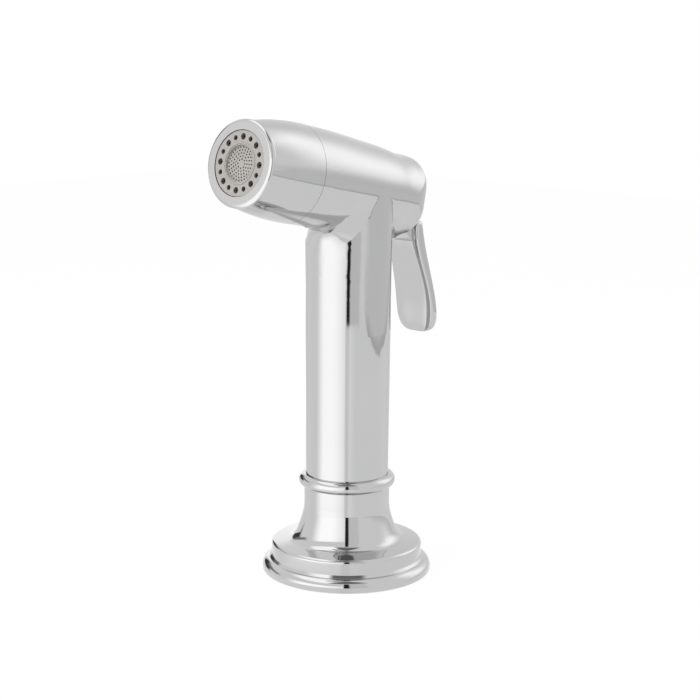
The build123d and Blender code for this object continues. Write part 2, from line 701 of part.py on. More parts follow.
# Valve, drawn along the barrel's axis
def valve_body():
    body = rod(CAVITY_R - FIT, CAVITY_REAR_S, VALVE_FRONT_S)
    body += rod(VALVE_SPIGOT_R, VALVE_FRONT_S, VALVE_SPIGOT_END_S)
    body -= rod(GLAND_R, CAVITY_REAR_S, STEM_SEAL_REAR_S)
    body -= rod(STEM_SEAL_R, STEM_SEAL_REAR_S, STEM_SEAL_FRONT_S)
    body -= rod(STEM_R + FIT, STEM_SEAL_FRONT_S, CHAMBER_REAR_S)
    body -= rod(CHAMBER_R, CHAMBER_REAR_S, SEAT_S)
    body -= rod(OUTLET_R, SEAT_S, VALVE_SPIGOT_END_S)
    for place in (CLIP_S, SELECTOR_SEAL_S):
        body -= groove(VALVE_SPIGOT_R, RING_WIRE_R, 0, place)
    body = BARREL * body
    body -= rod(RISER_R + FIT, BARREL_Z - 2 * CAVITY_R, RISER_TOP_Z + FIT)
    body -= rod(INLET_PORT_R, RISER_TOP_Z, BARREL_Z - CHAMBER_R + INLET_PORT_REACH)
    return body


def valve_seat():
    seat = pipe(SEAT_HOLE_R, OUTLET_R, SEAT_S, SEAT_S + SEAT_THICK)
    seat += pipe(SEAT_HOLE_R, SEAT_HOLE_R + SEAT_LIP_WALL, SEAT_S - SEAT_LIP, SEAT_S)
    return BARREL * seat


def stem_seal():
    inner = STEM_R + FIT / 2
    outer = STEM_SEAL_R - FIT / 2
    seal = Torus((inner + outer) / 2, (outer - inner) / 2)
    return BARREL * Pos(0, 0, (STEM_SEAL_REAR_S + STEM_SEAL_FRONT_S) / 2) * seal


def gland_nut():
    nut = rod(GLAND_R, BRACKET_BASE_S, STEM_SEAL_REAR_S)
    nut += hexagon(GLAND_HEX, BRACKET_BASE_S - GLAND_HEAD, BRACKET_BASE_S)
    nut -= rod(STEM_R + FIT, BRACKET_BASE_S - GLAND_HEAD, STEM_SEAL_REAR_S)
    return BARREL * nut


def valve_stem():
    stem = rod(STEM_R, HEAD_REAR_S, DISC_FRONT_S + DISC_NUT)
    stem += rod(HEAD_R, HEAD_REAR_S, HEAD_FRONT_S)
    stem += rod(DISC_SEAL_R, CUP_REAR_S, DISC_REAR_S)
    return BARREL * stem


def valve_disc():
    return BARREL * pipe(STEM_R, DISC_SEAL_R, DISC_REAR_S, DISC_FRONT_S)


def disc_nut():
    flats = 2 * (SEAT_HOLE_R - DISC_NUT_INSET) * math.cos(math.pi / 6)
    front = DISC_FRONT_S + DISC_NUT
    return BARREL * (hexagon(flats, DISC_FRONT_S, front) - rod(STEM_R, DISC_FRONT_S, front))


def valve_spring():
    mean_r = DISC_SEAL_R - VALVE_SPRING_IN
    return BARREL * coil(mean_r, VALVE_WIRE_R, CHAMBER_REAR_S, CUP_REAR_S, VALVE_SPRING_TURNS)


# Lever, its pin and the bracket that carries them
def pivot_rod(radius, half):
    """A rod across the barrel, on the lever's pivot."""
    return BARREL * Pos(0, PIVOT_U, PIVOT_S) * Rot(0, 90, 0) * Cylinder(radius, 2 * half)


def lever_bracket():
    root = Line((BRACKET_BASE_S, BRACKET_LOW_U), (BRACKET_BASE_S, BRACKET_TOP_U))
    tip = Pos(PIVOT_S, PIVOT_U) * Circle(EAR_R)
    profile = SIDE_VIEW * make_hull([*root.edges(), *tip.edges()])
    ears = extrude(profile, amount=EAR_OUTER, dir=(1, 0, 0), both=True)
    gap = 2 * CAVITY_R
    ears -= block(-EAR_INNER, EAR_INNER, -gap, gap, 2 * PIVOT_S, BRACKET_BASE_S)
    base = block(
        -EAR_OUTER, EAR_OUTER, BRACKET_LOW_U, BRACKET_TOP_U, BRACKET_BASE_S, CAVITY_REAR_S
    )
    base += rod(BRACKET_DISC_R, BRACKET_BASE_S, CAVITY_REAR_S)
    bracket = base + ears - rod(GLAND_R, BRACKET_BASE_S, CAVITY_REAR_S)
    return BARREL * bracket - pivot_rod(PIN_R, 2 * EAR_OUTER)


def lever_pin():
    return pivot_rod(PIN_R, EAR_OUTER)


def lever_side():
    """The paddle seen from the side."""
    corners = [(LEVER_TOP_Y, LEVER_TOP_Z), (LEVER_TIP_Y, LEVER_TIP_Z)]
    corners += [(LEVER_FACE[-1][0], LEVER_TIP_Z), *reversed(LEVER_FACE)]
    corners += [(LEVER_FACE[0][0], LEVER_TOP_Z)]
    return prism_x(corners, LEVER_BACK_R)


def lever_back():
    """A leaning cylinder, whose rear wall is the paddle's rounded back."""
    middle_y = (LEVER_TOP_Y + LEVER_TIP_Y) / 2
    middle_z = (LEVER_TOP_Z + LEVER_TIP_Z) / 2
    lean = Pos(0, middle_y, middle_z) * Rot(LEVER_SPLAY, 0, 0) * Pos(0, -LEVER_BACK_R, 0)
    return lean * Cylinder(LEVER_BACK_R, 2 * LEVER_LENGTH)


def lever_front():
    """The paddle seen from behind, with its round tip."""
    round_z = LEVER_TIP_Z + LEVER_LOW_HALF
    right = (LEVER_LOW_HALF, 0, round_z)
    left = (-LEVER_LOW_HALF, 0, round_z)
    top = [(-LEVER_TOP_HALF, 0, LEVER_TOP_Z), (LEVER_TOP_HALF, 0, LEVER_TOP_Z)]
    outline = [Polyline(left, *top, right), ThreePointArc(right, (0, 0, LEVER_TIP_Z), left)]
    return extrude(make_face(outline), amount=2 * LEVER_TIP_Y, dir=(0, 1, 0), both=True)


def lever_neck():
    """The part inside the barrel: from the paddle up to the boss on the pin."""
    root_y = LEVER_FACE[0][0] + NECK_ROOT
    corners = [
        (PIVOT.Y, PIVOT.Z + NECK_REACH),
        (root_y, LEVER_TOP_Z - NECK_DROP),
        (root_y, LEVER_FACE[0][1]),
        (PIVOT.Y, PIVOT.Z - NECK_REACH),
    ]
    return prism_x(corners, NECK_HALF) + pivot_rod(BOSS_R, NECK_HALF)


def lever_fork():
    """Two prongs that reach up on both sides of the stem and pull its head back."""
    rear = FORK_PAD_S - FORK_REAR
    prongs = block(-NECK_HALF, NECK_HALF, PIVOT_U, FORK_TOP_U, rear, rear + FORK_THICK)
    prongs += Pos(0, 0, FORK_PAD_S) * Rot(0, 90, 0) * Cylinder(FORK_PAD_R, 2 * NECK_HALF)
    gap = STEM_R + FORK_GAP
    prongs -= block(-gap, gap, -gap, FORK_TOP_U, 2 * PIVOT_S, 0)
    return BARREL * prongs


def squeeze_lever():
    paddle = lever_side() & lever_back() & lever_front()
    lever = paddle + lever_neck() + lever_fork()
    return lever - pivot_rod(PIN_R + FIT, 2 * NECK_HALF)


# Nose: turns about the barrel's axis to change the spray
def ports(place):
    """Round ports through a disc or a web at this place."""
    return around(PORTS, PORT_RING_R, Pos(0, 0, place) * Cylinder(PORT_R, 4 * PORT_DISC))


def port_disc():
    return BARREL * (rod(OUTLET_R, PORT_REAR_S, VALVE_SPIGOT_END_S) - ports(PORT_REAR_S))


def selector_seal():
    return BARREL * ring(VALVE_SPIGOT_R, RING_WIRE_R, 0, SELECTOR_SEAL_S)


def selector_clip():
    return BARREL * ring(VALVE_SPIGOT_R, RING_WIRE_R, 0, CLIP_S)


def selector_core():
    tube_r = HUB_HOLE_R + CORE_TUBE_WALL
    core = rod(CORE_R, CORE_REAR_S, INSERT_REAR_S)
    core += rod(tube_r, INSERT_REAR_S, PLATE_REAR_S)
    core -= rod(VALVE_SPIGOT_R + FIT, CORE_REAR_S, CORE_WEB_S)
    core -= rod(HUB_HOLE_R, CORE_WEB_FRONT_S, PLATE_REAR_S)
    core -= pipe(tube_r, CORE_R - CORE_RING_WALL, CORE_WEB_FRONT_S, INSERT_REAR_S)
    room = RING_WIRE_R + 2 * FIT
    for place in (CLIP_S, SELECTOR_SEAL_S):
        core -= rod(VALVE_SPIGOT_R + room, place - room, place + room)
    return BARREL * (core - ports(CORE_WEB_S))


def nose_shell():
    rear_s = SEAM_S + SEAM
    return BARREL * lathe(
        [
            Line((CORE_R, rear_s), (SEAM_R, rear_s)),
            Spline((SEAM_R, rear_s), (NOSE_MID_R, NOSE_MID_S), (FACE_R, RING_BACK_S)),
            Polyline((FACE_R, RING_BACK_S), (CORE_R, RING_BACK_S), (CORE_R, rear_s)),
        ]
    )


def face_ring():
    corner = (FACE_R - FACE_CORNER, FACE_S - FACE_CORNER)
    front = (FACE_R - FACE_ROUND, FACE_S)
    rear = [(RING_IN_R, RING_REAR_S), (CORE_R, RING_REAR_S), (CORE_R, RING_BACK_S)]
    return BARREL * lathe(
        [
            ThreePointArc((FACE_R, RING_BACK_S), corner, front),
            Polyline(front, (RING_IN_R, FACE_S), *rear, (FACE_R, RING_BACK_S)),
        ]
    )


def nozzles(low, high):
    """Sixteen round pegs, large and small in turn."""
    middle = Pos(0, 0, (low + high) / 2)
    big = middle * Cylinder(NOZZLE_BIG_R, high - low)
    small = middle * Cylinder(NOZZLE_SMALL_R, high - low)
    step = 180 / NOZZLE_PAIRS
    return around(NOZZLE_PAIRS, NOZZLE_RING_R, big) + around(NOZZLE_PAIRS, NOZZLE_RING_R, small, step)


def nozzle_plate():
    plate = pipe(HUB_HOLE_R, PLATE_R, PLATE_REAR_S, PLATE_S)
    plate += pipe(HUB_HOLE_R, CORE_R, PLATE_REAR_S, RING_REAR_S)
    plate += pipe(HUB_HOLE_R, HUB_HOLE_R + HUB_RIM, PLATE_S, PLATE_S + HUB_RIM_RISE)
    return BARREL * (plate - nozzles(PLATE_REAR_S - OVER, PLATE_S + OVER))


def nozzle_insert():
    insert = pipe(HUB_HOLE_R + CORE_TUBE_WALL, CORE_R, INSERT_REAR_S, PLATE_REAR_S)
    insert += nozzles(INSERT_REAR_S, PLATE_S - NOZZLE_SINK)
    orifice = Pos(0, 0, PLATE_S) * Cylinder(ORIFICE_R, 4 * PLATE_THICK)
    return BARREL * (insert - around(2 * NOZZLE_PAIRS, NOZZLE_RING_R, orifice))


def aerator_housing():
    return BARREL * pipe(SCREEN_R, HUB_HOLE_R, AERATOR_REAR_S, PLATE_S)


def aerator_screen():
    screen = rod(SCREEN_R, SCREEN_FRONT_S - SCREEN_THICK, SCREEN_FRONT_S)
    cell = Pos(0, 0, SCREEN_FRONT_S) * Cylinder(SCREEN_CELL_R, 4 * SCREEN_THICK)
    for i in range(SCREEN_RINGS):
        ring_r = SCREEN_R - SCREEN_EDGE - i * SCREEN_STEP
        screen -= around(round(2 * math.pi * ring_r / SCREEN_PITCH), ring_r, cell)
    return BARREL * screen


def aerator_mixer():
    mixer = rod(SCREEN_R, MIXER_S, MIXER_S + MIXER_THICK)
    hole = Pos(0, 0, MIXER_S) * Cylinder(MIXER_HOLE_R, 4 * MIXER_THICK)
    return BARREL * (mixer - around(MIXER_HOLES, SCREEN_R - MIXER_HOLES_IN, hole))


PIECES = [
    holder_shell,
    deck_gasket,
    threaded_shank,
    clamp_seal,
    clamp_washer,
    lock_nut,
    guide_bush,
    handset_body,
    inlet_nipple,
    nipple_seal,
    inlet_filter,
    check_valve_body,
    check_valve_guide,
    check_valve_poppet,
    check_valve_spring,
    riser_tube,
    riser_seals,
    valve_body,
    valve_seat,
    stem_seal,
    gland_nut,
    valve_stem,
    valve_disc,
    disc_nut,
    valve_spring,
    lever_bracket,
    lever_pin,
    squeeze_lever,
    port_disc,
    selector_seal,
    selector_clip,
    selector_core,
    nose_shell,
    face_ring,
    nozzle_plate,
    nozzle_insert,
    aerator_housing,
    aerator_screen,
    aerator_mixer,
]

for piece in PIECES:
    export_step(piece(), "parts/" + piece.__name__ + ".step")
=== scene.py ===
import math

import bmesh
import bpy
from mathutils import Matrix, Vector


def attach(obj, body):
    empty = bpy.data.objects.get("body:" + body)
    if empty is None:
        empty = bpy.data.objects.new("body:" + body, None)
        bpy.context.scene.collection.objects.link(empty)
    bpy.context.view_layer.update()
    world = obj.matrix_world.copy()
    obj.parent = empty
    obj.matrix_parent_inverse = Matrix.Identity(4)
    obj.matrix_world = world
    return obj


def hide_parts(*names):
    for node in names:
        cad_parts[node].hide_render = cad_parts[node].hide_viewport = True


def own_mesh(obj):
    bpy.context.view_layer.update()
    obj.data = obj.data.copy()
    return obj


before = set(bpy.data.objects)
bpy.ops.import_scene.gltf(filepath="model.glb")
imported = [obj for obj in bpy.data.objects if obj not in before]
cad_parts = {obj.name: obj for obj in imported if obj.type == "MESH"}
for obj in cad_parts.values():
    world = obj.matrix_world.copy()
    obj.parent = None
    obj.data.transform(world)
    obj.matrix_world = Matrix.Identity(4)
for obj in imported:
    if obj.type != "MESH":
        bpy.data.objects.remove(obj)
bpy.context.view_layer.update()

bl_info = {
    "name": "Rinse Handset",
    "version": (1, 0, 0),
    "blender": (4, 5, 0),
    "location": "View3D > Sidebar > Rinse Handset",
    "description": "Chrome rinse handset with a squeeze lever, standing in its deck holder",
    "category": "Object",
}

MM = 0.001
# Vertices closer than this are one
MERGE_WITHIN = 0.001 * MM
BARREL_TILT = math.radians(12.1)
CAMERA_AZIMUTH = math.radians(41.1)

# Which finish each carried-over piece has
NODE_FINISHES = {
    "plated_brass": (
        "holder_shell",
        "handset_body",
        "nose_shell",
        "face_ring",
        "squeeze_lever",
    ),
    "turned_brass": (
        "threaded_shank",
        "lock_nut",
        "inlet_nipple",
        "gland_nut",
        "valve_seat",
        "disc_nut",
    ),
    "drawn_steel": (
        "clamp_washer",
        "valve_stem",
        "valve_spring",
        "check_valve_spring",
        "lever_bracket",
        "lever_pin",
        "selector_clip",
    ),
    "moulded_seal": (
        "deck_gasket",
        "clamp_seal",
        "nipple_seal",
        "riser_seals",
        "stem_seal",
        "valve_disc",
        "selector_seal",
    ),
    "white_acetal": (
        "guide_bush",
        "riser_tube",
        "valve_body",
        "check_valve_body",
        "check_valve_guide",
        "check_valve_poppet",
    ),
    "grey_abs": ("nozzle_plate",),
    "nozzle_silicone": ("nozzle_insert",),
    "dark_acetal": ("port_disc", "selector_core", "inlet_filter"),
    "screen_acetal": ("aerator_housing", "aerator_screen", "aerator_mixer"),
}

# Which finish each new piece has
PIECE_FINISHES = {
    "plated_brass": ("lever_paddle", "lever_neck"),
    "drawn_steel": ("valve_spring_wire", "check_valve_spring_wire"),
}


# Colours and materials
def linear(colour):
    """An sRGB hex value as linear red, green, blue and alpha."""
    channels = [int(colour[i : i + 2], 16) / 255 for i in (1, 3, 5)]
    return (*(c / 12.92 if c <= 0.04045 else ((c + 0.055) / 1.055) ** 2.4 for c in channels), 1)


def add(tree, kind, links=None, values=None, **settings):
    """A node with its settings, the values of its inputs and the links into them."""
    node = tree.nodes.new("ShaderNode" + kind)
    for name, value in settings.items():
        setattr(node, name, value)
    for key, value in (values or {}).items():
        node.inputs[key].default_value = value
    for key, source in (links or {}).items():
        tree.links.new(source, node.inputs[key])
    return node


def new_material(name):
    """A new material with its tree, its shader and the surface's own place in metres."""
    material = bpy.data.materials.new(name)
    material.use_nodes = True
    tree = material.node_tree
    tree.nodes.clear()
    shader = add(tree, "BsdfPrincipled")
    add(tree, "OutputMaterial", {"Surface": shader.outputs["BSDF"]})
    place = add(tree, "TexCoord").outputs["Object"]
    return material, tree, shader, place


def noise(tree, place, size_mm, detail=2.0, stretch=(1, 1, 1)):
    """Even noise whose lumps are about this many millimetres across."""
    scaled = add(tree, "Mapping", {"Vector": place}, {"Scale": stretch})
    made = add(
        tree,
        "TexNoise",
        {"Vector": scaled.outputs["Vector"]},
        {"Scale": 1 / (size_mm * MM), "Detail": detail},
    )
    return made.outputs["Fac"]


def between(tree, value, low, high):
    """A 0 to 1 value spread over this range."""
    spread = add(tree, "MapRange", {"Value": value}, {"To Min": low, "To Max": high})
    return spread.outputs["Result"]


def bump(tree, shader, height, depth_mm, strength=1.0):
    """Relief of this depth on the surface."""
    relief = add(
        tree, "Bump", {"Height": height}, {"Distance": depth_mm * MM, "Strength": strength}
    )
    tree.links.new(relief.outputs["Normal"], shader.inputs["Normal"])


def mixed_colour(tree, shader, factor, first, second):
    """The surface's colour wanders between two close shades."""
    mix = add(tree, "Mix", data_type="RGBA")
    tree.links.new(factor, mix.inputs["Factor"])
    mix.inputs[6].default_value = linear(first)
    mix.inputs[7].default_value = linear(second)
    tree.links.new(mix.outputs[2], shader.inputs["Base Color"])


def plated_brass(colours):
    """Cast brass, polished and chrome plated: a mirror, with the faint swell of hand polishing."""
    material, tree, shader, place = new_material("chrome_plated_brass")
    shader.inputs["Metallic"].default_value = 1.0
    mixed_colour(tree, shader, noise(tree, place, 14), colours.chrome, colours.chrome_shade)
    # water spots and wiping marks dull the mirror a little
    wiped = noise(tree, place, 5, 4, (1, 1, 0.3))
    tree.links.new(between(tree, wiped, 0.015, 0.06), shader.inputs["Roughness"])
    bump(tree, shader, noise(tree, place, 9, 0), 0.002)
    return material


def turned_brass(colours):
    """Bare brass off the lathe: warm yellow, with fine rings round the part's axis."""
    material, tree, shader, place = new_material("turned_brass")
    shader.inputs["Metallic"].default_value = 1.0
    mixed_colour(tree, shader, noise(tree, place, 6, 3), colours.brass, colours.brass_shade)
    # tool marks are 0.1 mm apart, drawn at 0.4 mm so that they show
    marks = noise(tree, place, 4, 2, (0.05, 0.05, 10))
    tree.links.new(between(tree, marks, 0.22, 0.42), shader.inputs["Roughness"])
    bump(tree, shader, marks, 0.01)
    return material


def drawn_steel(colours):
    """Stainless steel wire, sheet and rod: grey metal with a satin grain."""
    material, tree, shader, place = new_material("stainless_steel")
    shader.inputs["Metallic"].default_value = 1.0
    mixed_colour(tree, shader, noise(tree, place, 5, 3), colours.steel, colours.steel_shade)
    grain = noise(tree, place, 2, 3, (0.2, 4, 4))
    tree.links.new(between(tree, grain, 0.2, 0.38), shader.inputs["Roughness"])
    bump(tree, shader, grain, 0.006)
    return material


def moulded(name, first, second, roughness, grain_mm, depth_mm, ior=1.46):
    """Moulded plastic or rubber: an even colour under a fine spark-eroded grain."""
    material, tree, shader, place = new_material(name)
    shader.inputs["IOR"].default_value = ior
    mixed_colour(tree, shader, noise(tree, place, 8, 3), first, second)
    grain = noise(tree, place, grain_mm, 2)
    low, high = roughness
    tree.links.new(between(tree, grain, low, high), shader.inputs["Roughness"])
    bump(tree, shader, grain, depth_mm)
    return material


def moulded_finishes(colours):
    """The plastics and rubbers, each with its own sheen and grain."""
    return {
        # EPDM seals: black, dull, slightly dusty
        "moulded_seal": moulded(
            "moulded_epdm_rubber", colours.rubber, "#1C1C1D", (0.6, 0.8), 0.4, 0.02, 1.52
        ),
        # acetal: waxy white
        "white_acetal": moulded(
            "moulded_white_acetal", colours.white, "#DAD9D4", (0.28, 0.4), 0.5, 0.01, 1.48
        ),
        # ABS spray plate: warm grey, silky
        "grey_abs": moulded(
            "moulded_grey_abs", colours.plate, colours.plate_shade, (0.34, 0.38), 0.6, 0.001, 1.54
        ),
        # silicone nozzles: dark grey-brown, soft sheen
        "nozzle_silicone": moulded(
            "moulded_nozzle_silicone", colours.nozzle, "#2C2927", (0.4, 0.55), 0.3, 0.004, 1.41
        ),
        "dark_acetal": moulded(
            "moulded_dark_acetal", "#3B3C3E", "#303133", (0.3, 0.42), 0.4, 0.01, 1.48
        ),
        # the aerator's screen: a lighter warm grey
        "screen_acetal": moulded(
            "moulded_screen_acetal", colours.screen, colours.plate_shade, (0.34, 0.38), 0.6, 0.001
        ),
    }


# Sizes and colours that a user would change
class RinseHandsetColours(bpy.types.PropertyGroup):
    chrome: bpy.props.StringProperty(
        name="Chrome", description="Reflected colour of the plating, sRGB", default="#C7C7C7"
    )
    chrome_shade: bpy.props.StringProperty(
        name="Chrome shade", description="The plating's darker shade, sRGB", default="#C3C3C4"
    )
    brass: bpy.props.StringProperty(
        name="Brass", description="Bare brass, sRGB", default="#D9B36A"
    )
    brass_shade: bpy.props.StringProperty(
        name="Brass shade", description="Slightly tarnished brass, sRGB", default="#C79C55"
    )
    steel: bpy.props.StringProperty(
        name="Steel", description="Stainless steel, sRGB", default="#C2C0BC"
    )
    steel_shade: bpy.props.StringProperty(
        name="Steel shade", description="Steel's darker shade, sRGB", default="#AFADA9"
    )
    rubber: bpy.props.StringProperty(
        name="Rubber", description="Seals and gasket, sRGB", default="#151516"
    )
    white: bpy.props.StringProperty(
        name="White plastic", description="Acetal parts, sRGB", default="#E4E3DF"
    )
    plate: bpy.props.StringProperty(
        name="Spray plate", description="Warm grey face of the spray head, sRGB", default="#A39F9B"
    )
    plate_shade: bpy.props.StringProperty(
        name="Spray plate shade", description="Its darker shade, sRGB", default="#9A9692"
    )
    nozzle: bpy.props.StringProperty(
        name="Nozzles", description="Silicone of the nozzles, sRGB", default="#353230"
    )
    screen: bpy.props.StringProperty(
        name="Aerator", description="Screen in the middle of the face, sRGB", default="#A8A4A0"
    )


class RinseHandsetLever(bpy.types.PropertyGroup):
    edge_rounding: bpy.props.FloatProperty(
        name="Edge rounding",
        description="How far the paddle's side walls stand in from a sharp corner, as a share",
        default=0.15,
        subtype="FACTOR",
    )
    dish: bpy.props.FloatProperty(
        name="Dish",
        description="Hollow of the face that the fingers pull",
        default=0.25 * MM,
        unit="LENGTH",
    )
    smoothness: bpy.props.IntProperty(
        name="Smoothness", description="Subdivision levels of the paddle", default=3
    )


class RinseHandsetStudio(bpy.types.PropertyGroup):
    distance: bpy.props.FloatProperty(
        name="Camera distance",
        description="From the handle's axis, along the floor",
        default=0.5707,
        unit="LENGTH",
    )
    height: bpy.props.FloatProperty(
        name="Camera height", description="Over the deck", default=0.189, unit="LENGTH"
    )
    pitch: bpy.props.FloatProperty(
        name="Camera pitch",
        description="Looking down",
        default=math.radians(11.45),
        unit="ROTATION",
    )
    lens: bpy.props.FloatProperty(
        name="Lens", description="Focal length in millimetres", default=92.57, unit="CAMERA"
    )
    shift: bpy.props.FloatProperty(
        name="Camera shift", description="Sideways, as a share of the frame", default=0.0034
    )
    roll: bpy.props.FloatProperty(
        name="Camera roll",
        description="Turn about the line of sight",
        default=math.radians(0.35),
        unit="ROTATION",
    )
    table_right: bpy.props.FloatProperty(
        name="Table right",
        description="From the handle's axis to the table's right edge",
        default=0.345,
        unit="LENGTH",
    )
    mirrored_white: bpy.props.FloatProperty(
        name="Mirrored white", description="Brightness of the plain white in mirrors", default=0.97
    )
    key_light: bpy.props.FloatProperty(
        name="Key light", description="Power of each softbox", default=3.0, unit="POWER"
    )
    room_light: bpy.props.FloatProperty(
        name="Room light", description="Strength of the white room", default=0.75
    )


# What a mirror sees round the table: brightness, then the left, right, lower and upper ends of
# each part, each with its softness. Degrees round the handle from the camera (0) to the right,
# and degrees up from level.
ROOM_PARTS = {
    "right_softbox": (1.55, (100, 18), (138, 16), (8, 12), (48, 8)),
    "right_wall": (0.78, (72, 8), (165, 15), (-90, 1), (3, 7)),
    "left_softbox": (1.72, (-78, 16), (-8, 34), (-90, 1), (25, 3)),
    "softbox_overhead": (1.6, (-165, 10), (-30, 10), (52, 5), (90, 1)),
    "boom": (0.2, (-35, 8), (40, 8), (56, 6), (90, 1)),
    "card_by_the_camera": (0.84, (0, 2), (30, 3), (-90, 1), (56, 4)),
    "gap_by_the_camera": (0.02, (-3.5, 1.5), (5, 2), (-90, 1), (52, 3)),
    "window_behind": (1.3, (-190, 1), (-160, 4), (-90, 1), (22, 4)),
    "dark_doorway": (0.06, (-157, 3), (-128, 6), (-2, 2), (22, 5)),
    "dark_lintel": (0.25, (-146, 6), (-106, 8), (13, 3), (22, 4)),
    "wall_behind": (0.88, (155, 6), (190, 1), (-90, 1), (90, 1)),
}

# Painted light and shade that the table glows with, seen only in mirrors: painted pools of light
# and painted dark patches on and beyond it, listed the same way, with distances in millimetres
PAINTED_TABLE_LIGHT_AND_SHADE = {
    "painted_light_pool": (1.66, (-78, 16), (-8, 34), (60, 50), (5000, 1)),
    "painted_shade_near_the_gap": (0.93, (-6, 3), (4, 3), (0, 1), (5000, 1)),
    "painted_shade_card_foot": (0.79, (0, 2), (30, 4), (458, 6), (5000, 1)),
    "painted_dark_gap_foot": (0.02, (-3.5, 1.5), (5, 2), (458, 6), (5000, 1)),
    "painted_shade_behind_right": (0.82, (135, 15), (190, 1), (0, 1), (5000, 1)),
    "painted_shade_behind_left": (0.87, (-155, 8), (-132, 8), (0, 1), (5000, 1)),
    "painted_light_window_foot": (1.35, (-190, 1), (-157, 4), (200, 50), (5000, 1)),
}

# Painted shade along the table's right edge, seen only in mirrors: its softness, the angle from
# which it shows, and beyond it how far the painted darkness fades and between which brightnesses
EDGE_SOFT = 3
EDGE_FROM = (48, 9)
PAINTED_SHADE_BEYOND_EDGE = (40, 0.6, 0.8)
# How much of the table's white is its own, so that only a faint shadow is left on it
OWN_WHITE = 0.95
# The softboxes: metres towards the camera, to the right and up, and the side of their square
SOFTBOXES = {
    "softbox_left": ((0.45, -0.6, 0.55), 0.5),
    "softbox_top": ((0.1, 0, 0.9), 0.7),
}


def towards_camera():
    return Vector((math.sin(CAMERA_AZIMUTH), -math.cos(CAMERA_AZIMUTH), 0))


def to_the_right():
    return Vector((math.cos(CAMERA_AZIMUTH), math.sin(CAMERA_AZIMUTH), 0))


def dot_with(tree, source, direction):
    return add(
        tree, "VectorMath", {0: source}, {1: direction}, operation="DOT_PRODUCT"
    ).outputs["Value"]


def math_node(tree, operation, first, second=None):
    """One sum, with each part a link or a number."""
    node = add(tree, "Math", operation=operation)
    for i, part in enumerate((first, second)):
        if isinstance(part, (int, float)):
            node.inputs[i].default_value = part
        elif part is not None:
            tree.links.new(part, node.inputs[i])
    return node.outputs["Value"]


def edge(tree, value, end, before, after):
    """Goes smoothly from one value to another round an end, given as where it is and how soft."""
    where, soft = end
    step = add(
        tree,
        "MapRange",
        {"Value": value},
        {"From Min": where - soft, "From Max": where + soft, "To Min": before, "To Max": after},
        interpolation_type="SMOOTHSTEP",
    )
    return step.outputs["Result"]


def lit_parts(tree, level, parts, across, along):
    """A brightness over which each part is laid in turn, where the two measures lie inside it."""
    for brightness, *ends in parts.values():
        masks = []
        for measure, low, high in ((across, *ends[:2]), (along, *ends[2:])):
            masks += [edge(tree, measure, low, 0, 1), edge(tree, measure, high, 1, 0)]
        mask = masks[0]
        for other in masks[1:]:
            mask = math_node(tree, "MULTIPLY", mask, other)
        level = blended(tree, mask, level, brightness)
    return level


def blended(tree, mask, first, second):
    """The first value where the mask is 0, and the second where it is 1."""
    blend = add(tree, "Mix", {"Factor": mask}, data_type="FLOAT")
    for socket, part in ((2, first), (3, second)):
        if isinstance(part, (int, float)):
            blend.inputs[socket].default_value = part
        else:
            tree.links.new(part, blend.inputs[socket])
    return blend.outputs[0]


def white_room(settings):
    """A white room that mirrors see with its softboxes, walls and gaps, and the camera as white."""
    world = bpy.data.worlds.new("white_room")
    world.use_nodes = True
    tree = world.node_tree
    tree.nodes.clear()
    ray = add(tree, "TexCoord").outputs["Generated"]
    ahead = dot_with(tree, ray, towards_camera())
    right = dot_with(tree, ray, to_the_right())
    up = dot_with(tree, ray, (0, 0, 1))
    around = math_node(tree, "DEGREES", math_node(tree, "ARCTAN2", right, ahead))
    above = math_node(tree, "DEGREES", math_node(tree, "ARCSINE", up))
    level = lit_parts(tree, settings.mirrored_white, ROOM_PARTS, around, above)
    seen = add(tree, "LightPath")
    paint = {"Color": linear("#FFFFFF")}
    mirrored = add(tree, "Background", {"Strength": level}, paint)
    plain = add(tree, "Background", values={**paint, "Strength": settings.room_light})
    white = add(tree, "Background", values={**paint, "Strength": 1.0})
    lit = add(
        tree,
        "MixShader",
        {0: seen.outputs["Is Glossy Ray"], 1: plain.outputs[0], 2: mirrored.outputs[0]},
    )
    shown = add(
        tree,
        "MixShader",
        {0: seen.outputs["Is Camera Ray"], 1: lit.outputs[0], 2: white.outputs[0]},
    )
    add(tree, "OutputWorld", {"Surface": shown.outputs[0]})
    bpy.context.scene.world = world


